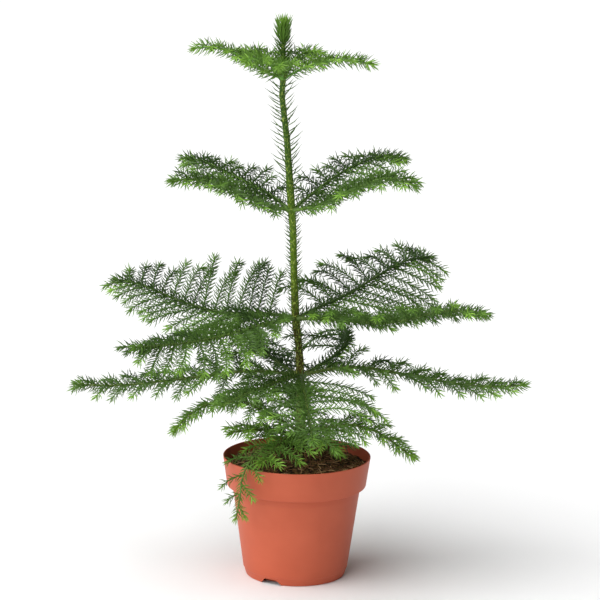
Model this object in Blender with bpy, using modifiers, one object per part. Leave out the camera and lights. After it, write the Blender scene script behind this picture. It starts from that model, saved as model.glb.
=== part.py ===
"""A young potted Norfolk Island pine (Araucaria heterophylla) in a 15 cm nursery pot.

Metres, +Z up. The origin is the centre of the circle that the pot stands on, and the viewer's
side is -Y. The trunk rises out of the soil and carries five tiers of boughs. Each bough is a
short tapering limb, and goes on as the stem of a mass of foliage: a flat frond with a rank of
sprays on either side, every spray a slim core that needles stand out of.
"""
import math
import random
from collections import namedtuple

import bmesh
import bpy
import numpy as np

MM = 0.001
GAP = 0.3 * MM
UP = np.array((0.0, 0.0, 1.0))

# Pot: radii and heights in millimetres, from the foot to the lip.
POT_FOOT_RADIUS = 50.2
POT_FOOT_HEIGHT = 8.0
POT_BODY_FOOT_RADIUS = 53.2
POT_BODY_TOP_RADIUS = 64.1
POT_BODY_TOP = 85.5
POT_COLLAR_FOOT_RADIUS = 70.6
POT_COLLAR_FOOT = 95.0
POT_RIM_RADIUS = 75.0
POT_HEIGHT = 123.5
POT_WALL = 1.4
POT_FLOOR = 1.6
POT_SIDES = 48
NOTCH_AZIMUTHS = (241.0, 61.0)
NOTCH_WIDTH = 20.0
NOTCH_TOP_WIDTH = 10.0
NOTCH_HEIGHT = 5.5
NOTCH_DEPTH = 10.0
DRAIN_HOLES = 6
DRAIN_RADIUS = 4.5
DRAIN_CIRCLE = 30.0

# Soil: a low mound that is flat under the foot of the trunk.
SOIL_EDGE = 113.0
SOIL_TOP = 136.0
SOIL_FLAT_RADIUS = 15.0
SOIL_MOUND_RADIUS = 60.0

# Trunk: height, offset in X, offset in Y, radius, in millimetres.
TRUNK_COURSE = (
    (SOIL_TOP + 0.3, 3.0, 4.0, 9.0),
    (140.0, 3.0, 4.0, 7.0),
    (148.0, 3.0, 4.0, 5.5),
    (175.0, 2.7, 4.0, 4.9),
    (206.0, -1.0, 4.0, 4.7),
    (265.0, -6.0, 4.0, 4.4),
    (355.0, -7.4, 4.0, 3.9),
    (376.0, -9.2, 4.0, 4.0),
    (446.0, -14.7, 3.0, 3.1),
    (491.0, -20.5, 1.0, 2.8),
    (509.0, -19.4, 0.0, 2.9),
    (545.0, -20.0, 0.0, 2.0),
)
TRUNK_NEEDLES = 56
TRUNK_NEEDLES_FROM = 215.0
TRUNK_NEEDLE_LENGTHS = (8.0, 13.0)
TUFT_HEIGHT = 13.0
TUFT_NEEDLES = 15
TUFT_NEEDLE_LENGTH = 14.0

# Tiers: height on the trunk, bare length of a bough, longest spray, radius of a bough at the trunk.
Tier = namedtuple("Tier", "height bare reach radius")
TIERS = {
    "top": Tier(509.0, 14.0, 18.0, 1.15),
    "upper": Tier(376.0, 20.0, 36.0, 1.7),
    "middle": Tier(265.0, 22.0, 58.0, 1.9),
    "lower": Tier(206.0, 22.0, 52.0, 1.8),
    "base": Tier(146.0, 18.0, 33.0, 1.5),
}

# Boughs: azimuth from +X and its turn along the bough, length, pitches at even stations from
# the trunk to the tip, lift of the sprays on the left and on the right (at the first spray and
# at the tip), size of the sprays against the tier's, and height above the tier's own.
Bough = namedtuple("Bough", "name tier azimuth turn length pitches left right size rise")
BOUGHS = (
    Bough("top_left", "top", 180, 0, 94, (18, 36, 16, -12), (20, 20), (20, 20), 1.0, 0),
    Bough("top_right", "top", 0, 0, 92, (34, 19, -2, -17), (20, 20), (20, 20), 1.0, 0),
    Bough("top_back_right", "top", 55, 0, 76, (50, 32, -12, -50), (20, 20), (20, 20), 1.0, 0),
    Bough("top_back_left", "top", 125, 0, 80, (40, 24, 0, -30), (20, 20), (20, 20), 1.0, 0),
    Bough("top_front_left", "top", 234, 0, 70, (40, 38, 8, -15), (20, 20), (20, 20), 1.0, 0),
    Bough("top_front", "top", 285, 0, 60, (45, 35, 10, -20), (20, 20), (20, 20), 1.0, 0),
    Bough("upper_front_left", "upper", 212, 0, 144, (10, 26, 22, -10), (35, 25), (35, 25), 0.9, 0),
    Bough("upper_back_left", "upper", 142, 0, 146, (30, 16, 14, -10), (35, 25), (35, 25), 0.9, 0),
    Bough("upper_front_right", "upper", 328, 0, 152, (8, 28, 24, -26), (35, 25), (35, 25), 0.9, 0),
    Bough("upper_back_right", "upper", 38, 0, 154, (34, 27, 10, -30), (35, 25), (35, 25), 0.9, 0),
    Bough("middle_front_left", "middle", 222, 0, 214, (0, -6, 2, 6), (35, -35), (22, 18), 1.0, 0),
    Bough("middle_back_left", "middle", 142, 0, 240, (12, -10, 8, 14, -18), (-8, -8), (38, 34), 1.0, 0),
    Bough("middle_front_right", "middle", 326, 0, 226, (12, 1, 24, -8), (0, 0), (22, 10), 0.8, 0),
    Bough("middle_back_right", "middle", 48, 0, 230, (12, 4, 22, 6, -10), (34, 32), (-4, -8), 1.0, 0),
    Bough("lower_left", "lower", 180, 0, 221, (10, -9, -8, 4), (-16, -16), (2, -4), 0.95, 0),
    Bough("lower_right", "lower", 0, 0, 228, (20, -9, -10, 8), (-2, -6), (10, 0), 0.9, 0),
    Bough("lower_back_left", "lower", 124, -36, 178, (5, 4, 2, 0), (10, 5), (-10, -10), 0.95, 0),
    Bough("lower_back_right", "lower", 52, 46, 178, (6, 2, 0, 0), (-12, -12), (10, 5), 0.95, 0),
    Bough("lower_front_right", "lower", 292, 0, 198, (2, 0, 0, -6), (0, 0), (5, 0), 1.0, 0),
    Bough("lower_front_left", "lower", 245, 0, 196, (2, -3, -4, -12), (0, 0), (5, 0), 1.0, 0),
    Bough("base_left", "base", 184, 0, 146, (24, 26, -20, -52), (-15, -15), (10, 5), 0.75, 4),
    Bough("base_right", "base", 352, 0, 134, (6, 20, -30, -26), (25, 12), (0, -5), 1.0, 2),
    Bough("base_front_left", "base", 203, 0, 76, (8, 6, 0, -18), (10, 10), (10, 10), 0.8, -1),
    Bough("base_front", "base", 244, 0, 84, (16, 6, -4, -14), (15, 15), (15, 15), 0.8, 3),
    Bough("base_over_rim", "base", 230, 0, 140, (5, -5, -25, -85, -68), (10, 10), (10, 10), 0.9, -4),
    Bough("base_front_right", "base", 325, 0, 48, (20, 0, -30, -50), (10, 10), (10, 10), 0.6, -3),
    Bough("base_back", "base", 95, 0, 116, (30, 18, 0, -15), (20, 20), (20, 20), 1.0, 0),
)
COURSE_STEPS = 24
STEM_END_RADIUS = 0.7
STEM_RING_STEP = 12.0

# Sprays: the cores and the needles that stand out of them.
SPRAY_STEP = 12.5
SPRAY_RING_STEP = 10.0
SPRAY_RADIUS = 0.95
SPRAY_END_RADIUS = 0.55
NEEDLE = 7.0
NEEDLE_ANGLE = math.radians(55.0)
NEEDLE_REACH = NEEDLE * math.sin(NEEDLE_ANGLE)
FIRST_SWEEP, LAST_SWEEP = 76.0, 46.0

COLOURS = {
    "terracotta": ((0.53, 0.125, 0.062, 1.0), 0.45),
    "soil": ((0.035, 0.018, 0.010, 1.0), 0.95),
    "bark": ((0.120, 0.100, 0.030, 1.0), 0.80),
    "needles": ((0.070, 0.180, 0.030, 1.0), 0.55),
}


def clear_scene():
    """Remove every object, so that the model starts from nothing."""
    for obj in list(bpy.data.objects):
        bpy.data.objects.remove(obj, do_unlink=True)


def new_collection(name, hidden=False):
    """Return a new collection of the scene."""
    collection = bpy.data.collections.new(name)
    bpy.context.scene.collection.children.link(collection)
    collection.hide_render = hidden
    return collection


def new_material(name):
    """Return a Principled material in one of the plant's colours."""
    colour, roughness = COLOURS[name]
    material = bpy.data.materials.new(name)
    material.use_nodes = True
    shader = material.node_tree.nodes["Principled BSDF"]
    shader.inputs["Base Color"].default_value = colour
    shader.inputs["Roughness"].default_value = roughness
    shader.inputs["Metallic"].default_value = 0.0
    return material


def unit(vector):
    """Return the vector at length one."""
    return vector / np.linalg.norm(vector)


def side_and_top(direction):
    """Return the level direction to the left of a heading, and the one square to both."""
    side = unit(np.cross(UP, direction))
    return side, np.cross(direction, side)


def mesh_object(name, vertices, faces, collection, material):
    """Return an object of the given faces, with its normals turned outward."""
    mesh = bpy.data.meshes.new(name)
    mesh.from_pydata([tuple(vertex) for vertex in vertices], [], faces)
    shape = bmesh.new()
    shape.from_mesh(mesh)
    bmesh.ops.recalc_face_normals(shape, faces=shape.faces)
    shape.to_mesh(mesh)
    shape.free()
    mesh.materials.append(material)
    obj = bpy.data.objects.new(name, mesh)
    collection.objects.link(obj)
    return obj


def tube(name, points, radii, resolution, collection, material):
    """Return a tapering tube along the points, as a mesh with welded caps."""
    curve = bpy.data.curves.new(name, "CURVE")
    curve.dimensions = "3D"
    curve.bevel_depth = MM
    curve.bevel_resolution = resolution
    curve.use_fill_caps = True
    spline = curve.splines.new("POLY")
    spline.points.add(len(points) - 1)
    for control, point, radius in zip(spline.points, points, radii):
        control.co = (*point, 1.0)
        control.radius = radius
    guide = bpy.data.objects.new(name + "_course", curve)
    collection.objects.link(guide)
    graph = bpy.context.evaluated_depsgraph_get()
    mesh = bpy.data.meshes.new_from_object(guide.evaluated_get(graph))
    bpy.data.objects.remove(guide, do_unlink=True)
    bpy.data.curves.remove(curve)
    shape = bmesh.new()
    shape.from_mesh(mesh)
    bmesh.ops.remove_doubles(shape, verts=shape.verts, dist=0.01 * MM)
    bmesh.ops.recalc_face_normals(shape, faces=shape.faces)
    shape.to_mesh(mesh)
    shape.free()
    mesh.name = name
    mesh.materials.clear()
    mesh.materials.append(material)
    obj = bpy.data.objects.new(name, mesh)
    collection.objects.link(obj)
    return obj


def turned(name, profile, sides, collection, material):
    """Return a shape turned about Z from a profile of (radius, height) in millimetres."""
    mesh = bpy.data.meshes.new(name)
    points = [(radius * MM, 0.0, height * MM) for radius, height in profile]
    mesh.from_pydata(points, [(i, i + 1) for i in range(len(points) - 1)], [])
    mesh.materials.append(material)
    obj = bpy.data.objects.new(name, mesh)
    collection.objects.link(obj)
    screw = obj.modifiers.new("Turn", "SCREW")
    screw.steps = sides
    screw.render_steps = sides
    screw.use_merge_vertices = True
    screw.merge_threshold = 0.00005
    screw.use_smooth_shade = False
    return obj


# ---- the pot and its soil ----

def pot_profile():
    """Return the pot's section, from the middle of its floor over the lip and under the foot."""
    wall = POT_WALL
    return (
        (0.0, POT_FLOOR),
        (POT_FOOT_RADIUS - wall, POT_FLOOR),
        (POT_BODY_FOOT_RADIUS - wall, POT_FOOT_HEIGHT),
        (POT_BODY_TOP_RADIUS - wall, POT_BODY_TOP),
        (POT_BODY_TOP_RADIUS - wall, POT_COLLAR_FOOT - 4.0),
        (POT_COLLAR_FOOT_RADIUS - wall, POT_COLLAR_FOOT + 1.0),
        (POT_RIM_RADIUS - wall - 0.4, POT_HEIGHT - 0.6),
        (POT_RIM_RADIUS - wall, POT_HEIGHT),
        (POT_RIM_RADIUS - 0.5, POT_HEIGHT),
        (POT_RIM_RADIUS, POT_HEIGHT - 0.7),
        (POT_COLLAR_FOOT_RADIUS, POT_COLLAR_FOOT),
        (POT_BODY_TOP_RADIUS + 0.5, POT_COLLAR_FOOT - 6.0),
        (POT_BODY_TOP_RADIUS, POT_BODY_TOP),
        (POT_BODY_FOOT_RADIUS, POT_FOOT_HEIGHT),
        (POT_BODY_FOOT_RADIUS - 0.6, POT_FOOT_HEIGHT - 0.6),
        (POT_FOOT_RADIUS, 0.0),
        (0.0, 0.0),
    )


def notch_cutter(azimuth, collection, material):
    """Return a wedge that cuts one drainage gap in the foot of the pot, narrower at its top."""
    inner, outer = POT_FOOT_RADIUS - NOTCH_DEPTH, POT_FOOT_RADIUS + NOTCH_DEPTH
    below = -1.0
    heading = math.radians(azimuth)
    forward = np.array((math.cos(heading), math.sin(heading), 0.0))
    across = np.array((-math.sin(heading), math.cos(heading), 0.0))
    section = (
        (-NOTCH_WIDTH / 2, below), (NOTCH_WIDTH / 2, below),
        (NOTCH_TOP_WIDTH / 2, NOTCH_HEIGHT), (-NOTCH_TOP_WIDTH / 2, NOTCH_HEIGHT),
    )
    corners = []
    for radius in (inner, outer):
        corners += [(forward * radius + across * x + UP * z) * MM for x, z in section]
    faces = [(0, 1, 2, 3), (4, 5, 6, 7)]
    faces += [(k, (k + 1) % 4, (k + 1) % 4 + 4, k + 4) for k in range(4)]
    return mesh_object("notch_cutter", corners, faces, collection, material)


def drain_cutter(azimuth, collection):
    """Return an upright cylinder that cuts one drainage hole in the pot's floor."""
    heading = math.radians(azimuth)
    place = (DRAIN_CIRCLE * MM * math.cos(heading), DRAIN_CIRCLE * MM * math.sin(heading), 0.0)
    bpy.ops.mesh.primitive_cylinder_add(vertices=10, radius=DRAIN_RADIUS * MM, depth=12 * MM, location=place)
    cutter = bpy.context.object
    for owner in list(cutter.users_collection):
        owner.objects.unlink(cutter)
    collection.objects.link(cutter)
    return cutter


def make_pot(collection, cutters, material):
    """Turn the pot, then cut its foot notches and drainage holes."""
    pot = turned("pot", pot_profile(), POT_SIDES, collection, material)
    tools = [notch_cutter(azimuth, cutters, material) for azimuth in NOTCH_AZIMUTHS]
    tools += [drain_cutter(360.0 * (k + 0.5) / DRAIN_HOLES, cutters) for k in range(DRAIN_HOLES)]
    for tool in tools:
        tool.hide_render = True
        tool.display_type = "WIRE"
    cut = pot.modifiers.new("Foot gaps and drainage", "BOOLEAN")
    cut.operation = "DIFFERENCE"
    cut.operand_type = "COLLECTION"
    cut.collection = cutters
    return pot


def soil_height(radius):
    """Return the height of the soil at a distance from the pot's axis, in millimetres."""
    along = (radius - SOIL_FLAT_RADIUS) / (SOIL_MOUND_RADIUS - SOIL_FLAT_RADIUS)
    fall = 0.5 - 0.5 * math.cos(math.pi * min(1.0, max(0.0, along)))
    return SOIL_TOP + (SOIL_EDGE - SOIL_TOP) * fall


def make_soil(collection, material):
    """Turn the soil: it fills the pot to just inside its wall and rises to the trunk."""
    clear = POT_WALL + 0.35
    collar_slope = (POT_RIM_RADIUS - POT_COLLAR_FOOT_RADIUS) / (POT_HEIGHT - POT_COLLAR_FOOT)
    edge = POT_COLLAR_FOOT_RADIUS - clear + collar_slope * (SOIL_EDGE - POT_COLLAR_FOOT) - 0.4
    surface = [(0.0, SOIL_TOP), (SOIL_FLAT_RADIUS, SOIL_TOP)]
    for step in range(1, 6):
        radius = SOIL_FLAT_RADIUS + (SOIL_MOUND_RADIUS - SOIL_FLAT_RADIUS) * step / 5
        surface.append((radius, soil_height(radius)))
    inside = [
        (edge, SOIL_EDGE),
        (POT_COLLAR_FOOT_RADIUS - clear, POT_COLLAR_FOOT + 1.0),
        (POT_BODY_TOP_RADIUS - clear, POT_COLLAR_FOOT - 4.2),
        (POT_BODY_TOP_RADIUS - clear, POT_BODY_TOP),
        (POT_BODY_FOOT_RADIUS - clear, POT_FOOT_HEIGHT),
        (POT_FOOT_RADIUS - clear, POT_FLOOR + 0.3),
        (0.0, POT_FLOOR + 0.3),
    ]
    return turned("soil", surface + inside, POT_SIDES, collection, material)


def pot_and_soil_distance(point):
    """Return a lower bound, in metres, of a point's distance to the filled pot."""
    x, y, z = point / MM
    radius = math.hypot(x, y)
    above_soil = z - soil_height(min(radius, POT_RIM_RADIUS))
    above_rim = z - POT_HEIGHT
    over = min(above_soil, above_rim) if radius > SOIL_MOUND_RADIUS else above_soil
    slope = (POT_RIM_RADIUS - POT_FOOT_RADIUS) / POT_HEIGHT
    outside = radius - POT_RIM_RADIUS
    if z < POT_COLLAR_FOOT:
        outside = radius - max(POT_FOOT_RADIUS, POT_COLLAR_FOOT_RADIUS + slope * (z - POT_COLLAR_FOOT))
    return max(over, outside) * MM


# ---- the trunk ----

def trunk_at(height):
    """Return the trunk's centre and radius at a height in millimetres."""
    heights, xs, ys, radii = np.array(TRUNK_COURSE).T
    centre = np.array((np.interp(height, heights, xs), np.interp(height, heights, ys), height))
    return centre * MM, float(np.interp(height, heights, radii)) * MM


def spike(name, root, direction, length, width, collection, material):
    """Return one needle: a three-sided spike whose root is at the given point."""
    side, top = side_and_top(direction)
    ring = []
    for corner in range(3):
        turn = math.radians(90.0 + 120.0 * corner)
        ring.append(root + (side * math.cos(turn) + top * math.sin(turn)) * width / 2)
    vertices = ring + [root + direction * length]
    faces = [(0, 1, 2), (0, 1, 3), (1, 2, 3), (2, 0, 3)]
    return mesh_object(name, vertices, faces, collection, material)


def trunk_needles():
    """Return root, direction and length of the needles that stand singly on the trunk."""
    rng = random.Random(7)
    top = TRUNK_COURSE[-1][0]
    needles = []
    for index in range(TRUNK_NEEDLES):
        share = (index + 0.5) / TRUNK_NEEDLES
        height = TRUNK_NEEDLES_FROM + (top - 3.0 - TRUNK_NEEDLES_FROM) * share
        azimuth = math.radians(137.5 * index + rng.uniform(-12.0, 12.0))
        ascent = math.radians(rng.uniform(25.0, 45.0))
        outward = np.array((math.cos(azimuth), math.sin(azimuth), 0.0))
        direction = outward * math.cos(ascent) + UP * math.sin(ascent)
        shorter, longer = TRUNK_NEEDLE_LENGTHS
        length = (shorter + (longer - shorter) * min(1.0, 1.6 * share)) * rng.uniform(0.85, 1.1) * MM
        centre, radius = trunk_at(height)
        root = centre + outward * radius * 0.45
        needles.append((root, direction, length + radius * 0.55))
    return needles


def trunk_segments():
    """Return the trunk as a list of (start, end, radius) for the clearance tests."""
    course = [(np.array((x, y, z)) * MM, radius * MM) for z, x, y, radius in TRUNK_COURSE]
    return [(a, b, max(ra, rb)) for (a, ra), (b, rb) in zip(course, course[1:])]


def make_trunk(kept_clear, collection, material):
    """Make the trunk from its flat cut on the soil to its tip, with its needles fused on."""
    points = [np.array((x, y, z)) * MM for z, x, y, radius in TRUNK_COURSE]
    radii = [radius for z, x, y, radius in TRUNK_COURSE]
    trunk = tube("trunk", points, radii, 3, collection, material)
    needles = new_collection("trunk_needles", hidden=True)
    segments = []
    for number, (root, direction, length) in enumerate(trunk_needles()):
        line = [root, root + direction * length]
        if is_clear(line, 0.8 * MM, kept_clear):
            spike(f"trunk_needle_{number}", root, direction, length, 1.3 * MM, needles, material)
            segments.append((line[0], line[1], 0.7 * MM))
    fuse(trunk, needles)
    return segments


# ---- boughs and sprays ----

def bough_course(bough):
    """Return the points along a bough from the trunk to its tip, and its heading at each step."""
    tier = TIERS[bough.tier]
    centre, radius = trunk_at(tier.height + bough.rise)
    share = (np.arange(COURSE_STEPS) + 0.5) / COURSE_STEPS
    stations = np.linspace(0.0, 1.0, len(bough.pitches))
    pitch = np.radians(np.interp(share, stations, bough.pitches))
    azimuth = np.radians(bough.azimuth + bough.turn * share)
    level = np.cos(pitch)
    headings = np.stack([level * np.cos(azimuth), level * np.sin(azimuth), np.sin(pitch)], axis=1)
    first = math.radians(bough.azimuth)
    outward = np.array((math.cos(first), math.sin(first), 0.0))
    start = centre + outward * (radius + GAP)
    steps = np.cumsum(headings * (bough.length * MM / COURSE_STEPS), axis=0)
    return np.vstack([start, start + steps]), headings


def along(points, distance, length):
    """Return the point at a distance along a course, and the number of the step it is in."""
    place = min(max(distance / length, 0.0), 1.0) * COURSE_STEPS
    step = min(int(place), COURSE_STEPS - 1)
    share = place - step
    return points[step] * (1.0 - share) + points[step + 1] * share, step


def spray_length(bough, share, rng):
    """Return a spray's length in millimetres: full along the middle, short at the tip."""
    shape = min(1.0, 0.62 + 1.6 * share) * (1.0 - 0.7 * share ** 2.2)
    return TIERS[bough.tier].reach * bough.size * shape * rng.uniform(0.88, 1.1)


def spray_courses(bough, seed):
    """Return the courses of a bough's sprays, set alternately on its left and right."""
    rng = random.Random(seed)
    points, headings = bough_course(bough)
    bare = TIERS[bough.tier].bare + 3.0
    courses = []
    distance, side_sign = bare, 1
    while distance < bough.length - 6.0:
        share = (distance - bare) / (bough.length - bare)
        length = spray_length(bough, share, rng) * MM
        sweep = math.radians(FIRST_SWEEP + (LAST_SWEEP - FIRST_SWEEP) * share ** 1.5 + rng.uniform(-6.0, 6.0))
        lifts = bough.left if side_sign > 0 else bough.right
        lift = math.radians(lifts[0] + (lifts[1] - lifts[0]) * share + rng.uniform(-7.0, 7.0))
        curl, sag = rng.uniform(0.0, 0.4), rng.uniform(-0.1, 0.4)
        root, step = along(points, distance, bough.length)
        forward = headings[step]
        side, top = side_and_top(forward)
        outward = side_sign * math.cos(lift) * side + math.sin(lift) * top
        heading = math.cos(sweep) * forward + math.sin(sweep) * outward
        pieces = max(3, round(length / (SPRAY_RING_STEP * MM)))
        course = [root]
        for piece in range(pieces):
            bend = (piece + 0.5) / pieces
            course.append(course[-1] + unit(heading + curl * bend * forward - sag * bend * UP) * length / pieces)
        courses.append(np.array(course))
        distance += SPRAY_STEP * rng.uniform(0.85, 1.15)
        side_sign = -side_sign
    return courses


def toothed_core(name, course, root_radius, end_radius, collection, material):
    """Return a slim three-sided core along a course, with a needle pulled out of every ring."""
    count = len(course)
    vertices = []
    for ring in range(count - 1):
        ahead = unit(course[ring + 1] - course[max(0, ring - 1)])
        side, top = side_and_top(ahead)
        radius = (root_radius + (end_radius - root_radius) * ring / (count - 1)) * MM
        for corner in range(3):
            turn = math.radians(90.0 + 120.0 * corner)
            outward = side * math.cos(turn) + top * math.sin(turn)
            vertex = course[ring] + outward * radius
            if ring > 0 and corner == (1, 2, 0)[ring % 3]:
                needle = outward * math.sin(NEEDLE_ANGLE) + ahead * math.cos(NEEDLE_ANGLE)
                needle_tip = course[ring] + needle * NEEDLE * MM
                if pot_and_soil_distance(needle_tip) > GAP:
                    vertex = needle_tip
            vertices.append(vertex)
    vertices.append(course[-1])
    tip = len(vertices) - 1
    faces = [(0, 1, 2)]
    for ring in range(count - 2):
        for corner in range(3):
            following = (corner + 1) % 3
            near, near_next = 3 * ring + corner, 3 * ring + following
            faces.append((near, near_next, near + 3))
            faces.append((near_next, near_next + 3, near + 3))
    last = tip - 3
    faces += [(last + corner, last + (corner + 1) % 3, tip) for corner in range(3)]
    return mesh_object(name, vertices, faces, collection, material)


def is_clear(course, reach, kept_clear):
    """Say whether a course, swept by its reach, stays off the given limbs and off the pot."""
    samples = []
    for start, end in zip(course, course[1:]):
        parts = max(1, math.ceil(np.linalg.norm(end - start) / (3.0 * MM)))
        samples += [start + (end - start) * part / parts for part in range(parts + 1)]
    if min(pot_and_soil_distance(sample) for sample in samples) < reach + GAP:
        return False
    if not kept_clear:
        return True
    starts = np.array([start for start, end, radius in kept_clear])
    spans = np.array([end for start, end, radius in kept_clear]) - starts
    limits = np.array([radius for start, end, radius in kept_clear]) + reach + GAP
    squares = np.maximum((spans ** 2).sum(axis=1), 1e-12)
    for sample in samples:
        share = np.clip(((sample - starts) * spans).sum(axis=1) / squares, 0.0, 1.0)
        nearest = starts + spans * share[:, None]
        if (np.linalg.norm(nearest - sample, axis=1) < limits).any():
            return False
    return True


def as_segments(course, reach):
    """Return a course as (start, end, reach) segments for the clearance tests."""
    return [(start, end, reach) for start, end in zip(course, course[1:])]


def fuse(body, twigs):
    """Join a collection to a body by one union, keep the largest piece, and drop the collection."""
    union = body.modifiers.new("Union", "BOOLEAN")
    union.operation = "UNION"
    union.operand_type = "COLLECTION"
    union.collection = twigs
    union.solver = "EXACT"
    graph = bpy.context.evaluated_depsgraph_get()
    mesh = bpy.data.meshes.new_from_object(body.evaluated_get(graph))
    body.modifiers.remove(union)
    keep_largest_piece(mesh)
    body.data = mesh
    mesh.name = body.name
    for twig in list(twigs.objects):
        bpy.data.objects.remove(twig, do_unlink=True)
    bpy.data.collections.remove(twigs)


def keep_largest_piece(mesh):
    """Drop loose scraps and sealed hollows: only the piece of the largest volume stays."""
    shape = bmesh.new()
    shape.from_mesh(mesh)
    bmesh.ops.triangulate(shape, faces=shape.faces)
    unseen = set(shape.verts)
    pieces = []
    while unseen:
        stack = [unseen.pop()]
        piece = set(stack)
        while stack:
            for edge in stack.pop().link_edges:
                for vertex in edge.verts:
                    if vertex in unseen:
                        unseen.discard(vertex)
                        piece.add(vertex)
                        stack.append(vertex)
        pieces.append(piece)
    pieces.sort(key=piece_volume, reverse=True)
    for piece in pieces[1:]:
        bmesh.ops.delete(shape, geom=list(piece), context="VERTS")
    shape.to_mesh(mesh)
    shape.free()


def piece_volume(piece):
    """Return the signed volume inside the faces of one connected piece."""
    faces = {face for vertex in piece for face in vertex.link_faces}
    volume = 0.0
    for face in faces:
        a, b, c = (vertex.co for vertex in face.verts)
        volume += a.dot(b.cross(c)) / 6.0
    return volume


def make_limb(bough, collection, material):
    """Make a bough's bare limb, from 0.3 mm off the trunk to where its foliage begins."""
    tier = TIERS[bough.tier]
    points, headings = bough_course(bough)
    stations = [0.0, 3.0, tier.bare * 0.5, tier.bare]
    course = [along(points, station, bough.length)[0] for station in stations]
    course[1][2] = course[0][2]
    radii = [bough_radius(bough, station) for station in stations]
    tube(bough.name + "_bough", course, radii, 1, collection, material)


def bough_radius(bough, distance):
    """Return a bough's radius in millimetres at a distance along it."""
    start = TIERS[bough.tier].radius
    return start + (STEM_END_RADIUS - start) * min(1.0, distance / bough.length)


def stem_course(bough):
    """Return the course of the stem inside a bough's foliage."""
    points, headings = bough_course(bough)
    start = TIERS[bough.tier].bare + GAP / MM
    pieces = max(4, round((bough.length - start) / STEM_RING_STEP))
    stations = np.linspace(start, bough.length, pieces + 1)
    return np.array([along(points, station, bough.length)[0] for station in stations])


def make_foliage(bough, number, kept_clear, collection, material):
    """Make one mass: its stem and the sprays that keep clear of every other part."""
    stem = stem_course(bough)
    radius = bough_radius(bough, TIERS[bough.tier].bare)
    body = toothed_core(bough.name + "_foliage", stem, radius, STEM_END_RADIUS, collection, material)
    twigs = new_collection(bough.name + "_sprays", hidden=True)
    segments = []
    for index, course in enumerate(spray_courses(bough, 100 + number)):
        if is_clear(course, NEEDLE_REACH * MM, kept_clear):
            name = f"{bough.name}_spray_{index}"
            toothed_core(name, course, SPRAY_RADIUS, SPRAY_END_RADIUS, twigs, material)
            segments += as_segments(course, NEEDLE_REACH * MM)
    fuse(body, twigs)
    return segments


def make_tuft(collection, material):
    """Make the bright tuft of young needles round the bud that ends the trunk."""
    rng = random.Random(11)
    height, x, y, radius = TRUNK_COURSE[-1]
    foot = np.array((x, y, height)) * MM + UP * GAP
    stations = (0.0, 0.5, 1.0)
    course = [foot + UP * TUFT_HEIGHT * MM * station for station in stations]
    tuft = tube("leader_tuft", course, (radius, 1.6, 0.9), 1, collection, material)
    needles = new_collection("tuft_needles", hidden=True)
    for index in range(TUFT_NEEDLES):
        share = (index + 0.5) / TUFT_NEEDLES
        azimuth = math.radians(137.5 * index + rng.uniform(-10.0, 10.0))
        ascent = math.radians(48.0 + 30.0 * share)
        outward = np.array((math.cos(azimuth), math.sin(azimuth), 0.0))
        direction = outward * math.cos(ascent) + UP * math.sin(ascent)
        root = foot + UP * (1.5 + (TUFT_HEIGHT - 3.0) * share) * MM
        length = TUFT_NEEDLE_LENGTH * rng.uniform(0.9, 1.05) * MM
        spike(f"tuft_needle_{index}", root, direction, length, 1.6 * MM, needles, material)
    fuse(tuft, needles)
    return as_segments([foot, foot + UP * (TUFT_HEIGHT + 6.0) * MM], 7.0 * MM)


def main():
    """Build the potted plant."""
    clear_scene()
    plant = new_collection("potted_norfolk_island_pine")
    cutters = new_collection("cutters", hidden=True)
    terracotta, soil, bark, needles = (new_material(name) for name in COLOURS)
    make_pot(plant, cutters, terracotta)
    make_soil(plant, soil)
    stems = {}
    for bough in BOUGHS:
        points, headings = bough_course(bough)
        stems[bough.name] = as_segments(points, TIERS[bough.tier].radius * MM)
    every_stem = [segment for stem in stems.values() for segment in stem]
    kept_clear = trunk_segments() + make_trunk(every_stem, plant, bark)
    kept_clear += make_tuft(plant, needles)
    for number, bough in enumerate(BOUGHS):
        make_limb(bough, plant, bark)
        others = [segment for name, stem in stems.items() if name != bough.name for segment in stem]
        kept_clear += make_foliage(bough, number, kept_clear + others, plant, needles)


main()
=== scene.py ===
"""Looks of the potted Norfolk Island pine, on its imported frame.

Metres, +Z up, with the viewer on the -Y side. The pot, the soil, the trunk with its boughs and
the foliage are made again as fine meshes over the solids that they stand for. Boughs and sprays
follow the seeded rule of the solids, carried on to closer sprays and to every single needle.
"""
import math
import random
from collections import namedtuple

import bmesh
import bpy
import numpy as np
from mathutils import Matrix, Quaternion, Vector, noise


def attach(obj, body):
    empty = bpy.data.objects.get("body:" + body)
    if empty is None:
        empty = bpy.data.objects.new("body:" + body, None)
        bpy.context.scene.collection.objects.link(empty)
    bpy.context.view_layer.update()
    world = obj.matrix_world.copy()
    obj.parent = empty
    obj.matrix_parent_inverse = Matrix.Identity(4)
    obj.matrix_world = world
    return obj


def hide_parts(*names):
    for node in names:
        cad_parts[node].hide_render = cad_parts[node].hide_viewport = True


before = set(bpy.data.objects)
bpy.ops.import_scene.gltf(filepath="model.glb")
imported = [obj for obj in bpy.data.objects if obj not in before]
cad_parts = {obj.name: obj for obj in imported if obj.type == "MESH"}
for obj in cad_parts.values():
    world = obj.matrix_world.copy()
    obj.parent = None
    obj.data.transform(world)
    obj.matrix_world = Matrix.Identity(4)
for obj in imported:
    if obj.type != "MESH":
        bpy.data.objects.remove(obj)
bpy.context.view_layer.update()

MM = 0.001
UP = np.array((0.0, 0.0, 1.0))
GOLDEN_ANGLE = math.radians(137.5)

# Camera: it looks at the plant from the front and a little above, rolled by under a degree.
CAMERA_TARGET = Vector((0.0007, 0.0, 0.2845))
CAMERA_DISTANCE = 2.9
CAMERA_ELEVATION = math.radians(11.9)
CAMERA_ROLL = math.radians(0.9)
CAMERA_LENS = 173.2

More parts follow.
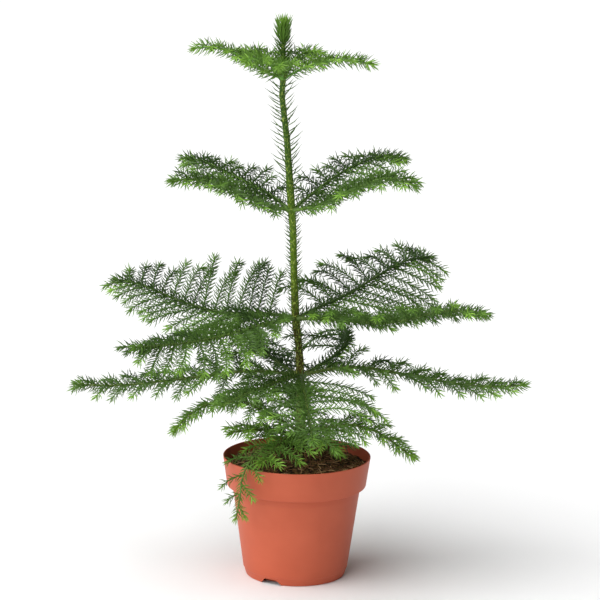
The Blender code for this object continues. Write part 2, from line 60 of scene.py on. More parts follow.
# Studio: strength of the world's even light, and the floor, which lies just under the pot.
WORLD_LIGHT = 0.14
FLOOR_RADIUS = 12.0
FLOOR_COLOUR = (246, 246, 246)
FLOOR_GAP = 0.2

# Lights of parallel rays: name, direction that they come from, strength, spread in degrees.
SUNS = (
    ("key", (-1.3, -1.0, 1.0), 2.75, 80.0),
    ("fill", (1.3, -1.0, 0.7), 0.1, 80.0),
    ("top", (-0.25, -0.1, 1.0), 2.0, 60.0),
)

# Pot: radii and heights in millimetres, from the foot to the lip.
POT_FOOT_RADIUS = 50.2
POT_FOOT_HEIGHT = 8.0
POT_BODY_FOOT_RADIUS = 53.2
POT_BODY_TOP_RADIUS = 64.1
POT_BODY_TOP = 85.5
POT_COLLAR_FOOT_RADIUS = 70.6
POT_COLLAR_FOOT = 95.0
POT_RIM_RADIUS = 75.0
POT_HEIGHT = 123.5
POT_WALL = 1.4
POT_FLOOR = 1.6
POT_FOOT_STEP = 0.6
POT_SIDES = 192
POT_EDGE_RADIUS = 0.7
POT_EDGE_STEPS = 4
POT_SHARP_ANGLE = 32.0

# Under the collar: how far its lip hangs, and how the body meets it, as (outward, up) offsets
# from the body's top radius and from the lip. Inside the pot, the step up behind the collar.
COLLAR_LIP = 1.6
COLLAR_JOINT = ((0.7, 0.4), (0.2, -2.4))
COLLAR_INSIDE = (-0.2, 2.0)

# Foot of the pot: gaps in its ring at two azimuths, and round drainage holes in its floor.
NOTCH_AZIMUTHS = (241.0, 61.0)
NOTCH_WIDTH = 25.0
NOTCH_TOP_WIDTH = 13.0
NOTCH_HEIGHT = 5.5
NOTCH_DEPTH = 10.0
NOTCH_BELOW = 1.0
DRAIN_HOLES = 6
DRAIN_RADIUS = 4.5
DRAIN_CIRCLE = 30.0
DRAIN_CUT_DEPTH = 12.0
DRAIN_SIDES = 24

# Soil: a low mound that is flat under the foot of the trunk.
SOIL_EDGE = 113.0
SOIL_TOP = 136.0
SOIL_FLAT_RADIUS = 15.0
SOIL_MOUND_RADIUS = 60.0
SOIL_RINGS = 90
SOIL_SIDES = 240
SOIL_BED_DEPTH = 14.0
SOIL_BED_MARGIN = 2.0

# Lumps of the soil: height, and scale of the fractal noise, with its H, lacunarity and octaves.
LUMP_HEIGHT = 2.0
LUMP_SCALE = 0.16
LUMP_FRACTAL = (0.7, 2.2, 4)

# Litter on the soil: how near it comes to the pot's axis and wall, its crumbs, most of them
# close to the smallest size, and its fibres, as count, lengths and width.
LITTER_FROM = 11.0
LITTER_MARGIN = 2.5
CRUMBS = 2200
CRUMB_SMALLEST = 0.5
CRUMB_GROWTH = 2.6
CRUMB_BIAS = 2.4
CRUMB_ROUGHNESS = (0.7, 1.3)
CRUMB_BREADTHS = (0.7, 1.4)
CRUMB_FLATNESS = (0.45, 0.9)
CRUMB_RISE = (-0.6, 1.0)
PEAT_FIBRES = (900, (4.0, 14.0), 0.32)
STRAWS = (210, (4.0, 18.0), 0.5)
FIBRE_STEPS = 5
FIBRE_BENDS = (-1.6, 1.6)
FIBRE_TILTS = (-0.12, 0.35)
FIBRE_TAPER = (0.6, 1.0, 1.0, 1.0, 0.9, 0.5)
FIBRE_LIFT = 0.5
FIBRE_RISE = (0.0, 0.8)

# Trunk: height, offset in X, offset in Y, radius, in millimetres.
TRUNK_COURSE = (
    (SOIL_TOP + 0.3, 3.0, 4.0, 9.0),
    (140.0, 3.0, 4.0, 7.0),
    (148.0, 3.2, 4.0, 5.2),
    (175.0, 3.2, 4.0, 4.3),
    (206.0, 2.2, 4.0, 4.2),
    (235.0, 0.3, 4.0, 3.6),
    (265.0, -3.6, 4.0, 4.1),
    (310.0, -5.8, 4.0, 3.4),
    (355.0, -7.4, 4.0, 3.4),
    (376.0, -9.2, 4.0, 3.9),
    (446.0, -14.7, 3.0, 3.1),
    (491.0, -20.5, 1.0, 2.8),
    (509.0, -19.4, 0.0, 2.9),
    (545.0, -20.0, 0.0, 2.0),
)
TRUNK_NEEDLES_FROM = 225.0
TRUNK_SIDES = 28
TRUNK_ROW_STEP = 0.8
TRUNK_FOOT_DEPTH = 4.0
TRUNK_TIP_HEIGHT = 6.0

# Tuft at the trunk's end: where it starts below the end, its length, the radius of its core and
# how far that tapers, and the softness from which its needles count as inner ones.
TUFT_DEPTH = 4.0
TUFT_LENGTH = 19.0
TUFT_CORE_RADIUS = 1.8
TUFT_CORE_TAPER = 1.2
TUFT_CORE_SIDES = 8
TUFT_INNER_FROM = 0.35

# Relief of the bark: leaf cushions, as spacing and height, and the trunk's fissures, deeper in
# old bark, with the noise's scales round and along the trunk, and its H, lacunarity and octaves.
TRUNK_CUSHIONS = (5.2, 0.2)
BOUGH_CUSHIONS = (2.4, 0.16)
FISSURE_DEPTH = 0.12
FISSURE_AGEING = 0.30
YOUNG_BARK_FROM = 330.0
BARK_AGEING = 80.0
FISSURE_SCALES = (2.2, 0.07)
FISSURE_FRACTAL = (0.8, 2.1, 4)

# Trunk's bark: heights in metres between which its colours run, how far the mottle shifts them,
# their stops from the foot up in sRGB, and the pale specks.
BARK_HEIGHTS = (0.13, 0.55)
BARK_MOTTLE = 0.36
BARK_STOPS = (
    (0.22, (106, 134, 66)),
    (0.30, (96, 112, 50)),
    (0.36, (82, 72, 26)),
    (0.44, (56, 52, 8)),
    (0.52, (74, 84, 16)),
    (0.62, (94, 122, 22)),
    (0.74, (90, 122, 26)),
    (0.86, (62, 92, 26)),
    (1.0, (56, 90, 28)),
)
BARK_SPECKS = (148, 168, 74)

# Needles: axial spacing, length, width, angle to the twig, length of the twig's soft tip, and
# how far the needles turn to the twig's two sides, as a comb's teeth do.
Leafing = namedtuple("Leafing", "spacing length width angle tip spread")
SPRAY_LEAFING = Leafing(0.75, 9.6, 1.2, 64.0, 7.0, 0.35)
LOW_LEAFING = Leafing(0.8, 9.0, 1.15, 64.0, 6.0, 0.4)
TRAILING_LEAFING = Leafing(0.95, 7.6, 1.05, 58.0, 6.0, 0.35)
BOUGH_LEAFING = Leafing(0.58, 11.0, 1.25, 66.0, 10.0, 0.1)
YOUNG_BOUGH_LEAFING = Leafing(0.62, 11.0, 1.2, 74.0, 8.0, 0.1)
YOUNG_SPRAY_LEAFING = Leafing(0.82, 9.6, 1.2, 70.0, 6.0, 0.35)
OLD_TRUNK_LEAFING = Leafing(0.62, 8.0, 1.1, 66.0, 4.0, 0.0)
YOUNG_TRUNK_LEAFING = Leafing(1.2, 15.0, 1.25, 68.0, 10.0, 0.0)
LEADER_LEAFING = Leafing(0.45, 12.5, 1.3, 56.0, 6.0, 0.0)
TUFT_LEAFING = Leafing(0.25, 15.5, 1.6, 41.0, 6.0, 0.0)

# Tiers: height on the trunk, bare length of a bough, longest spray, radius of a bough at the
# trunk, the tone that most of the tier's needles have, the step from one spray to the next,
# and the needles along the boughs and along the sprays.
Tier = namedtuple("Tier", "height bare reach radius tone step bough_leafing spray_leafing")
TIERS = {
    "top": Tier(509.0, 14.0, 18.0, 1.15, 2, 7.0, YOUNG_BOUGH_LEAFING, YOUNG_SPRAY_LEAFING),
    "upper": Tier(376.0, 20.0, 36.0, 1.7, 1, 6.5, BOUGH_LEAFING, YOUNG_SPRAY_LEAFING),
    "middle": Tier(265.0, 22.0, 58.0, 1.9, 1, 7.5, BOUGH_LEAFING, SPRAY_LEAFING),
    "lower": Tier(206.0, 22.0, 52.0, 1.8, 1, 10.5, BOUGH_LEAFING, LOW_LEAFING),
    "base": Tier(146.0, 13.0, 33.0, 1.5, 2, 9.0, BOUGH_LEAFING, LOW_LEAFING),
    "trailing": Tier(142.0, 14.0, 29.0, 1.2, 2, 11.0, TRAILING_LEAFING, TRAILING_LEAFING),
}

# Bark of the boughs by tier: base colours in sRGB.
LIMB_COLOURS = {
    "top": (104, 156, 60),
    "upper": (98, 132, 50),
    "middle": (88, 112, 44),
    "lower": (96, 112, 44),
    "base": (92, 100, 42),
    "trailing": (92, 112, 42),
}

# Boughs: azimuth from +X, length, pitches at even stations from the trunk to the tip, the left
# and the right rank of sprays, how far the azimuth turns along the bough, and its height above
# the tier's own. A rank has its lift at the first spray, its lift at the tip, its size against
# the tier's, and how far its sprays curl towards the bough's tip.
Bough = namedtuple(
    "Bough", "name tier azimuth length pitches left right turn rise", defaults=(0, 0)
)
BOUGHS = (
    Bough("top_left", "top", 180, 92, (16, 35, 17, -12),
          (10, 20, 1.0, 0.2), (20, 20, 1.0, 0.2)),
    Bough("top_right", "top", 0, 90, (34, 19, 0, -16),
          (20, 20, 1.0, 0.2), (10, 20, 1.0, 0.2)),
    Bough("top_back_right", "top", 55, 76, (50, 32, -12, -50),
          (20, 20, 1.0, 0.2), (20, 20, 1.0, 0.2)),
    Bough("top_back_left", "top", 125, 80, (40, 24, 0, -30),
          (20, 20, 1.0, 0.2), (20, 20, 1.0, 0.2)),
    Bough("top_front_left", "top", 234, 66, (40, 38, 8, -15),
          (20, 20, 1.0, 0.2), (20, 20, 1.0, 0.2)),
    Bough("top_front", "top", 266, 52, (45, 35, 10, -20),
          (20, 20, 1.0, 0.2), (20, 20, 0.9, 0.2)),
    Bough("upper_front_left", "upper", 212, 140, (12, 27, 20, -10),
          (-4, -8, 0.8, 0.3), (34, 24, 0.82, 0.2)),
    Bough("upper_back_left", "upper", 142, 146, (30, 15, 16, -6),
          (-6, -5, 1.0, 0.3), (30, 0, 0.82, 0.0)),
    Bough("upper_front_right", "upper", 328, 148, (10, 29, 24, -26),
          (34, 24, 0.82, 0.2), (-4, -8, 0.8, 0.3)),
    Bough("upper_back_right", "upper", 38, 152, (34, 25, 13, -20),
          (34, 0, 0.82, 0.0), (-6, -5, 1.0, 0.3)),
    Bough("middle_front_left", "middle", 222, 203, (0, -6, 2, 6),
          (20, -66, 1.05, 0.8), (26, -12, 1.0, 0.0)),
    Bough("middle_back_left", "middle", 142, 240, (2, -10, 4, 13, -4),
          (-8, -18, 1.05, 0.4), (58, 36, 1.15, -0.1)),
    Bough("middle_front_right", "middle", 326, 220, (8, 2, 23, -8),
          (4, 0, 0.9, 0.0), (30, 22, 0.9, 0.2)),
    Bough("middle_back_right", "middle", 48, 213, (12, 8, 17, 11, -12),
          (28, 20, 1.1, -0.1), (-10, -34, 1.4, 0.4)),
    Bough("lower_left", "lower", 180, 224, (10, -9, -8, 4),
          (4, 2, 1.0, 0.4), (16, 14, 1.15, 0.4)),
    Bough("lower_right", "lower", 0, 225, (20, -9, -10, 8),
          (12, 10, 1.0, 0.6), (8, 0, 1.0, 0.6)),
    Bough("lower_back_left", "lower", 124, 178, (5, 4, 2, 0),
          (10, 5, 0.8, 0.1), (-10, -10, 0.9, 0.1), turn=-36),
    Bough("lower_back_right", "lower", 44, 158, (13, 8, 3, 2),
          (4, 0, 1.7, -0.1), (10, 5, 0.15, 0.0), turn=60),
    Bough("lower_front_right", "lower", 274, 182, (2, -6, -9, -12),
          (6, 6, 1.68, -0.15), (4, 4, 1.0, -0.1)),
    Bough("lower_front_left", "lower", 245, 172, (8, 2, 2, -4),
          (-8, -4, 0.45, 0.0), (10, 8, 0.7, 0.0)),
    Bough("base_left", "base", 184, 142, (30, 30, -22, -56),
          (-10, -10, 0.8, 0.3), (10, 5, 0.9, 0.3), rise=4),
    Bough("base_right", "base", 350, 119, (22, 8, -28, -40),
          (14, 8, 1.45, 0.3), (0, -5, 0.7, 0.2)),
    Bough("base_front_left", "base", 203, 72, (12, 10, 4, -10),
          (14, 10, 1.0, 0.2), (6, 6, 1.1, 0.2)),
    Bough("base_front", "base", 242, 82, (6, -10, -18, -12),
          (4, 4, 1.35, 0.1), (4, 4, 1.35, 0.1), rise=2),
    Bough("base_over_rim", "trailing", 230, 134, (5, -5, -25, -85, -66),
          (10, 0, 1.2, 0.4), (0, 10, 1.2, 0.4)),
    Bough("base_front_right", "base", 325, 48, (20, 0, -30, -50),
          (10, 10, 1.1, 0.2), (10, 10, 0.9, 0.2), rise=-3),
    Bough("base_back", "base", 95, 116, (30, 18, 0, -15),
          (20, 20, 1.0, 0.1), (20, 20, 1.0, 0.1)),
)

# Boughs: steps of a course, the radius at the tip, how a bough starts inside the trunk, swells
# where it leaves it and ends in a point, and where its own needles start.
COURSE_STEPS = 96
BOUGH_SIDES = 9
BOUGH_END_RADIUS = 0.7
BOUGH_ROOT = 2.5
BOUGH_SWELLING = 0.55
BOUGH_SWELLING_LENGTH = 2.5
BOUGH_POINT = 0.4
BOUGH_NEEDLES_FROM = 4.0

# Sprays: they start past the bare length, end before the tip, and are shorter at both ends.
FIRST_SPRAY = 3.0
LAST_SPRAY = 6.0
NEAR_SHORTNESS = 0.8
TIP_SHORTENING = 0.72
SPRAY_SIDES = 5
SPRAY_RING_STEP = 4.0
SPRAY_RADIUS = 0.75
SPRAY_END_RADIUS = 0.45

# Angle in degrees between a bough and its sprays, from the first to the last one.
FIRST_SWEEP = 82.0
LAST_SWEEP = 48.0
SWEEP_BIAS = 2.5

# Scatter among the sprays of a bough: length and step as shares, sweep and lift in degrees, and
# how a spray curls towards the bough's tip, sags along its length and droops at its end.
LENGTH_SCATTER = (0.88, 1.1)
STEP_SCATTER = (0.85, 1.15)
SWEEP_SCATTER = (-8.0, 8.0)
LIFT_SCATTER = (-7.0, 7.0)
CURL_SCATTER = (-0.15, 0.15)
SAG = (-0.1, 0.3)
END_DROOP = (0.1, 1.2)

# Clearances that a new spray keeps from the trunk, the boughs and the other sprays.
TRUNK_CLEARANCE = 3.0
BOUGH_CLEARANCE = 1.5
SPRAY_CLEARANCE = 2.2

# Needles: rings of a needle, as shares of its length and width, and how far it bends ahead.
NEEDLE_RINGS = ((0.0, 0.8), (0.6, 1.0))
NEEDLE_CURVE = 0.3

# Over a twig's soft tip the needles are denser, closer to its line and shorter, by these shares.
SOFT_CROWDING = 0.5
SOFT_CLOSING = 0.55
SOFT_CLOSING_BIAS = 1.5
SOFT_SHORTENING = 0.3
SPACING_STEPS = 200

# Scatter among the needles: start of their spiral and turn in radians, angle in degrees, and
# length and width as shares.
SPIRAL_START = (0.0, 6.28)
TURN_SCATTER = 0.08
ANGLE_SCATTER = 4.0
NEEDLE_LENGTHS = (0.82, 1.1)
NEEDLE_WIDTHS = (0.85, 1.1)

# Tones of the needles, from the oldest to the soft tips, which are also dealt as painted light and
# shade: base colours in sRGB.
NEEDLE_TONES = (
    ("deep", (50, 76, 30)),
    ("dark", (74, 106, 40)),
    ("mid", (98, 136, 52)),
    ("fresh", (118, 160, 56)),
    ("bright", (136, 180, 70)),
)

# Painted light and shade: steps from a tier's tone that sprays are dealt, lighter where a twig
# faces the viewer and darker where it points away, and the extra painted light over a lit spray's
# soft tip.
# A twig gets the painted light where it doesn't point away from the viewer by more than this share.
PAINTED_LIGHT_TONES = (0, 0, 1)
PAINTED_SHADE_TONES = (-1, 0)
PAINTED_LIGHT_GROWTH = (0, 0, 1)
PAINTED_LIGHT_LIMIT = 0.05

# Seeds of the random draws.
SOIL_SEED = 31
TRUNK_SEED = 7
SPRAY_SEED = 100
TONE_SEED = 5

# A heading is nearly upright where its level part is below this share.
NEARLY_UPRIGHT = 0.05


def srgb(red, green, blue):
    """Return a linear colour for an sRGB colour given from 0 to 255."""
    linear = []
    for channel in (red, green, blue):
        share = channel / 255.0
        linear.append(share / 12.92 if share <= 0.04045 else ((share + 0.055) / 1.055) ** 2.4)
    return (*linear, 1.0)


def unit(vectors):
    """Return vectors at length one."""
    return vectors / np.linalg.norm(vectors, axis=-1, keepdims=True)


def add_object(name, data):
    """Put a new object in the scene, and return it."""
    thing = bpy.data.objects.new(name, data)
    bpy.context.scene.collection.objects.link(thing)
    return thing


def finished_mesh(name, shape):
    """Return a mesh made from a bmesh, which is freed."""
    mesh = bpy.data.meshes.new(name)
    shape.to_mesh(mesh)
    shape.free()
    return mesh


# ---- the studio ----

def make_camera():
    """Set the camera at the photograph's viewing angle."""
    data = bpy.data.cameras.new("camera")
    data.lens = CAMERA_LENS
    camera = add_object("camera", data)
    back = Vector((0.0, -math.cos(CAMERA_ELEVATION), math.sin(CAMERA_ELEVATION)))
    camera.location = CAMERA_TARGET + back * CAMERA_DISTANCE
    camera.rotation_mode = "QUATERNION"
    level = (-back).to_track_quat("-Z", "Y")
    camera.rotation_quaternion = level @ Quaternion((0.0, 0.0, 1.0), CAMERA_ROLL)
    bpy.context.scene.camera = camera


def make_sun(name, source, strength, spread):
    """Add a soft light of parallel rays that comes from a point's direction."""
    data = bpy.data.lights.new(name, "SUN")
    data.energy = strength
    data.angle = math.radians(spread)
    lamp = add_object(name, data)
    lamp.rotation_euler = Vector(source).to_track_quat("Z", "Y").to_euler()


def make_world():
    """Light the scene evenly, and show plain white behind it."""
    world = bpy.data.worlds.new("studio")
    world.use_nodes = True
    nodes, links = world.node_tree.nodes, world.node_tree.links
    nodes.clear()
    path = nodes.new("ShaderNodeLightPath")
    mix = nodes.new("ShaderNodeMixShader")
    output = nodes.new("ShaderNodeOutputWorld")
    links.new(path.outputs["Is Camera Ray"], mix.inputs["Fac"])
    links.new(mix.outputs["Shader"], output.inputs["Surface"])
    for socket, strength in ((1, WORLD_LIGHT), (2, 1.0)):
        background = nodes.new("ShaderNodeBackground")
        background.inputs["Color"].default_value = (1.0, 1.0, 1.0, 1.0)
        background.inputs["Strength"].default_value = strength
        links.new(background.outputs["Background"], mix.inputs[socket])
    bpy.context.scene.world = world


def make_floor():
    """Lay a plain pale floor, which isn't part of the plant."""
    shape = bmesh.new()
    bmesh.ops.create_circle(shape, cap_ends=True, radius=FLOOR_RADIUS, segments=64)
    mesh = finished_mesh("floor", shape)
    mesh.materials.append(new_material("floor", FLOOR_COLOUR, 0.9)[0])
    floor = add_object("floor", mesh)
    floor.location.z = -FLOOR_GAP * MM


def make_studio():
    """Make the camera, the lights and the floor."""
    make_camera()
    make_world()
    for name, source, strength, spread in SUNS:
        make_sun(name, source, strength, spread)
    make_floor()
    settings = bpy.context.scene.view_settings
    settings.view_transform = "Standard"
    settings.look = "None"


# ---- materials ----

def new_material(name, colour, roughness):
    """Return a new Principled material, and its nodes, links and shader."""
    material = bpy.data.materials.new(name)
    material.use_nodes = True
    nodes, links = material.node_tree.nodes, material.node_tree.links
    shader = nodes["Principled BSDF"]
    shader.inputs["Base Color"].default_value = srgb(*colour)
    shader.inputs["Roughness"].default_value = roughness
    shader.inputs["Metallic"].default_value = 0.0
    return material, nodes, links, shader


def add_noise(nodes, links, scale, detail=4.0, stretch=(1.0, 1.0, 1.0)):
    """Return the strength output of a noise laid through the object's own space."""
    space = nodes.new("ShaderNodeTexCoord")
    spread = nodes.new("ShaderNodeMapping")
    spread.inputs["Scale"].default_value = stretch
    pattern = nodes.new("ShaderNodeTexNoise")
    pattern.inputs["Scale"].default_value = scale
    pattern.inputs["Detail"].default_value = detail
    links.new(space.outputs["Object"], spread.inputs["Vector"])
    links.new(spread.outputs["Vector"], pattern.inputs["Vector"])
    return pattern.outputs["Fac"]


def add_ramp(nodes, links, source, stops):
    """Return the colour output of a ramp over (position, sRGB colour) stops."""
    ramp = nodes.new("ShaderNodeValToRGB")
    elements = ramp.color_ramp.elements
    while len(elements) < len(stops):
        elements.new(0.5)
    for element, (position, colour) in zip(elements, stops):
        element.position = position
        element.color = srgb(*colour)
    links.new(source, ramp.inputs["Fac"])
    return ramp.outputs["Color"]


def add_bump(nodes, links, shader, source, strength, distance):
    """Press a pattern into the surface."""
    bump = nodes.new("ShaderNodeBump")
    bump.inputs["Strength"].default_value = strength
    bump.inputs["Distance"].default_value = distance
    links.new(source, bump.inputs["Height"])
    links.new(bump.outputs["Normal"], shader.inputs["Normal"])


def add_range(nodes, links, source, side, low, high):
    """Return a value output that maps between 0 to 1 and low to high, on the From or To side."""
    spread = nodes.new("ShaderNodeMapRange")
    spread.inputs[side + " Min"].default_value = low
    spread.inputs[side + " Max"].default_value = high
    links.new(source, spread.inputs["Value"])
    return spread.outputs["Result"]


def terracotta_material():
    """Return the satin moulded plastic of the pot."""
    material, nodes, links, shader = new_material("terracotta_plastic", (190, 90, 60), 0.5)
    cloud = add_noise(nodes, links, scale=30.0, detail=3.0)
    colour = add_ramp(nodes, links, cloud, ((0.3, (187, 87, 57)), (0.7, (194, 93, 63))))
    links.new(colour, shader.inputs["Base Color"])
    roughness = add_range(nodes, links, cloud, "To", low=0.46, high=0.56)
    links.new(roughness, shader.inputs["Roughness"])
    shader.inputs["Specular IOR Level"].default_value = 0.35
    grain = add_noise(nodes, links, scale=1400.0, detail=2.0)
    add_bump(nodes, links, shader, grain, strength=0.15, distance=0.1 * MM)
    return material


def soil_material():
    """Return the dark, moist peat of the soil's surface."""
    material, nodes, links, shader = new_material("potting_soil", (62, 42, 28), 0.95)
    clods = add_noise(nodes, links, scale=260.0, detail=6.0)
    stops = ((0.34, (36, 26, 7)), (0.52, (80, 58, 24)), (0.70, (138, 106, 56)))
    links.new(add_ramp(nodes, links, clods, stops), shader.inputs["Base Color"])
    grain = add_noise(nodes, links, scale=900.0)
    add_bump(nodes, links, shader, grain, strength=0.8, distance=0.6 * MM)
    return material


def trunk_material():
    """Return the trunk's bark: green at its foot, then brown, then green with pale specks."""
    material, nodes, links, shader = new_material("trunk_bark", (90, 110, 50), 0.6)
    space = nodes.new("ShaderNodeTexCoord")
    split = nodes.new("ShaderNodeSeparateXYZ")
    links.new(space.outputs["Object"], split.inputs["Vector"])
    height = add_range(nodes, links, split.outputs["Z"], "From", *BARK_HEIGHTS)
    mottle = add_noise(nodes, links, scale=300.0, stretch=(1.0, 1.0, 0.5))
    shift = nodes.new("ShaderNodeMath")
    shift.operation = "MULTIPLY_ADD"
    shift.inputs[1].default_value = BARK_MOTTLE
    links.new(mottle, shift.inputs[0])
    links.new(height, shift.inputs[2])
    bark = add_ramp(nodes, links, shift.outputs["Value"], BARK_STOPS)
    specks = add_noise(nodes, links, scale=750.0, detail=1.0, stretch=(1.0, 1.0, 0.6))
    amount = add_ramp(nodes, links, specks, ((0.54, (0, 0, 0)), (0.66, (255, 255, 255))))
    blend = nodes.new("ShaderNodeMix")
    blend.data_type = "RGBA"
    blend.inputs["B"].default_value = srgb(*BARK_SPECKS)
    links.new(amount, blend.inputs["Factor"])
    links.new(bark, blend.inputs["A"])
    links.new(blend.outputs["Result"], shader.inputs["Base Color"])
    shader.inputs["Specular IOR Level"].default_value = 0.2
    grain = add_noise(nodes, links, scale=900.0)
    add_bump(nodes, links, shader, grain, strength=0.5, distance=0.3 * MM)
    return material


def limb_material(name, colour):
    """Return the green bark of the boughs of one tier."""
    material, nodes, links, shader = new_material(name, colour, 0.6)
    darker = tuple(0.8 * channel for channel in colour)
    lighter = tuple(1.15 * channel for channel in colour)
    mottle = add_noise(nodes, links, scale=400.0)
    colours = add_ramp(nodes, links, mottle, ((0.35, darker), (0.65, lighter)))
    links.new(colours, shader.inputs["Base Color"])
    return material


def needle_materials():
    """Return one material for each tone of the needles, waxy and plain in colour."""
    materials = []
    for name, colour in NEEDLE_TONES:
        material, _, _, shader = new_material("needles_" + name, colour, 0.45)
        shader.inputs["Specular IOR Level"].default_value = 0.22
        materials.append(material)
    return materials


# ---- joined meshes ----

def make_piece(name, shapes, material, nodes, smooth=True):
    """Join (vertices, triangles) pairs into one piece that stands for the given CAD nodes."""
    offset = 0
    vertices, triangles = [], []
    for shape_vertices, shape_triangles in shapes:
        vertices.append(shape_vertices)
        triangles.append(shape_triangles + offset)
        offset += len(shape_vertices)
    vertices = np.concatenate(vertices)
    triangles = np.concatenate(triangles)
    mesh = bpy.data.meshes.new(name)
    mesh.vertices.add(len(vertices))
    mesh.vertices.foreach_set("co", vertices.astype(np.float32).ravel())
    mesh.loops.add(triangles.size)
    mesh.loops.foreach_set("vertex_index", triangles.astype(np.int32).ravel())
    mesh.polygons.add(len(triangles))
    mesh.polygons.foreach_set("loop_start", np.arange(0, triangles.size, 3, dtype=np.int32))
    mesh.polygons.foreach_set("use_smooth", np.full(len(triangles), smooth))
    mesh.update(calc_edges=True)
    mesh.materials.append(material)
    mount(add_object(name, mesh), nodes)


def mount(piece, nodes):
    """Put a piece on the plant's one body, in place of its CAD nodes."""
    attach(piece, "root")
    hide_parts(*nodes)


def frames_along(course):
    """Return heading, side and top at every point of a course, without twist."""
    ahead = unit(np.gradient(course, axis=0))
    side = np.empty_like(ahead)
    start = np.cross(UP, ahead[0])
    side[0] = unit(start) if np.linalg.norm(start) > NEARLY_UPRIGHT else np.array((1.0, 0.0, 0.0))
    for index in range(1, len(course)):
        previous = side[index - 1]
        side[index] = unit(previous - ahead[index] * previous.dot(ahead[index]))
    return ahead, side, np.cross(ahead, side)


def ring_faces(rings, sides):
    """Return the triangles over rings of vertices that are followed by the caps' two centres."""
    corner = np.arange(sides)
    following = (corner + 1) % sides
    starts = np.arange(rings - 1)[:, None] * sides
    near, near_next = (starts + corner).ravel(), (starts + following).ravel()
    last, centre = (rings - 1) * sides, np.full(sides, rings * sides)
    corners = (
        (near, near_next, near + sides),
        (near_next, near_next + sides, near + sides),
        (following, corner, centre),
        (corner + last, following + last, centre + 1),
    )
    return np.concatenate([np.stack(three, axis=1) for three in corners])


def tube(course, radii, sides):
    """Return a closed tube along a course; radii are one per point, or one per point and side."""
    rings = len(course)
    ahead, side, top = frames_along(course)
    turns = 2.0 * math.pi * np.arange(sides) / sides
    across = np.cos(turns)[None, :, None] * side[:, None, :]
    around = across + np.sin(turns)[None, :, None] * top[:, None, :]
    radii = np.broadcast_to(np.asarray(radii, float).reshape(rings, -1), (rings, sides))
    walls = (course[:, None, :] + around * radii[:, :, None]).reshape(-1, 3)
    return np.vstack([walls, course[:1], course[-1:]]), ring_faces(rings, sides)


# ---- the pot ----

def pot_profile():
    """Return the pot's section, from the middle of its floor over the lip and under the foot."""
    wall = POT_WALL
    lip = POT_COLLAR_FOOT - COLLAR_LIP
    step_foot, step_top = COLLAR_INSIDE
    return (
        (0.0, POT_FLOOR),
        (POT_FOOT_RADIUS - wall, POT_FLOOR),
        (POT_BODY_FOOT_RADIUS - wall, POT_FOOT_HEIGHT),
        (POT_BODY_TOP_RADIUS - wall, POT_BODY_TOP),
        (POT_BODY_TOP_RADIUS - wall, POT_COLLAR_FOOT + step_foot),
        (POT_COLLAR_FOOT_RADIUS - wall, POT_COLLAR_FOOT + step_top),
        (POT_RIM_RADIUS - wall, POT_HEIGHT),
        (POT_RIM_RADIUS, POT_HEIGHT),
        (POT_COLLAR_FOOT_RADIUS, lip),
        *((POT_BODY_TOP_RADIUS + outward, lip + up) for outward, up in COLLAR_JOINT),
        (POT_BODY_TOP_RADIUS, POT_BODY_TOP),
        (POT_BODY_FOOT_RADIUS, POT_FOOT_HEIGHT),
        (POT_BODY_FOOT_RADIUS - POT_FOOT_STEP, POT_FOOT_HEIGHT - POT_FOOT_STEP),
        (POT_FOOT_RADIUS, 0.0),
        (0.0, 0.0),
    )


def round_corners(profile, radius, steps):
    """Return a profile whose inner corners are turned into short curves."""
    points = [np.array(point) for point in profile]
    rounded = [points[0]]
    for before, corner, after in zip(points, points[1:], points[2:]):
        back, on = before - corner, after - corner
        reach = min(radius, 0.45 * np.linalg.norm(back), 0.45 * np.linalg.norm(on))
        start, end = corner + unit(back) * reach, corner + unit(on) * reach
        for step in range(steps + 1):
            share = step / steps
            rest = 1 - share
            rounded.append(rest ** 2 * start + 2 * share * rest * corner + share ** 2 * end)
    rounded.append(points[-1])
    return rounded


def pot_shell():
    """Return the pot without its cuts, turned about Z from its rounded section."""
    profile = round_corners(pot_profile(), POT_EDGE_RADIUS, POT_EDGE_STEPS)
    shape = bmesh.new()
    points = [shape.verts.new((radius * MM, 0.0, height * MM)) for radius, height in profile]
    edges = [shape.edges.new(pair) for pair in zip(points, points[1:])]
    bmesh.ops.spin(
        shape, geom=points + edges, axis=(0, 0, 1), cent=(0, 0, 0), steps=POT_SIDES,
        angle=2.0 * math.pi, use_merge=True,
    )
    bmesh.ops.remove_doubles(shape, verts=shape.verts, dist=0.01 * MM)
    bmesh.ops.recalc_face_normals(shape, faces=shape.faces)
    return finished_mesh("pot_shell", shape)


def notch_cutter(shape, azimuth):
    """Add a wedge that cuts one drainage gap in the foot of the pot, narrower at its top."""
    turn = Matrix.Rotation(math.radians(azimuth), 4, "Z")
    for corner in bmesh.ops.create_cube(shape, size=2.0)["verts"]:
        outward, across, up = corner.co
        radius = POT_FOOT_RADIUS + outward * NOTCH_DEPTH
        if up > 0.0:
            place = (radius, across * NOTCH_TOP_WIDTH / 2, NOTCH_HEIGHT)
        else:
            place = (radius, across * NOTCH_WIDTH / 2, -NOTCH_BELOW)
        corner.co = turn @ Vector(place) * MM


